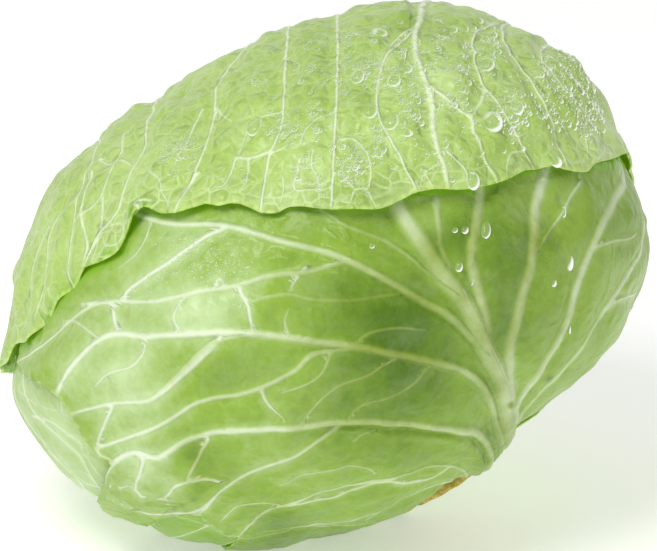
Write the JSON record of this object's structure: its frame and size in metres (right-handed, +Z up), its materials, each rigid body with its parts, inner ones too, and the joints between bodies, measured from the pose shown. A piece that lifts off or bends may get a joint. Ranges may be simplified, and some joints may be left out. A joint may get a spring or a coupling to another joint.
{
  "type": "cabbage head",
  "caption": "Head of green cabbage lying on its side, wrapper leaves with pale veins around a tight heart on a cut stem.",
  "frame": {"origin": "on the surface the head rests on, under the middle of the head, in the small flat spot that carries it", "axes": "+Z up; -Y towards the side that shows the broad face, which leans back 20 degrees; +X to the right seen from there, the side on which the cut stem leaves the head"},
  "size_m": [0.2134, 0.2041, 0.1795],
  "materials": {
    "cap_leaf": "fresh outer leaf, waxy satin, pale green",
    "front_leaf": "fresh wrapper leaf, waxy satin, mid green with pale veins",
    "side_leaf": "fresh wrapper leaf, waxy satin, green",
    "heart_leaf": "tight inner leaves, waxy satin, pale yellow-green",
    "cut_stem": "cut stem, dull, dried ochre brown"
  },
  "bodies": {
    "root": {"leaf_cap": "cap_leaf", "leaf_front": "front_leaf", "leaf_left": "side_leaf", "leaf_under": "side_leaf", "heart": "heart_leaf", "stem": "cut_stem"}
  },
  "joints": []
}
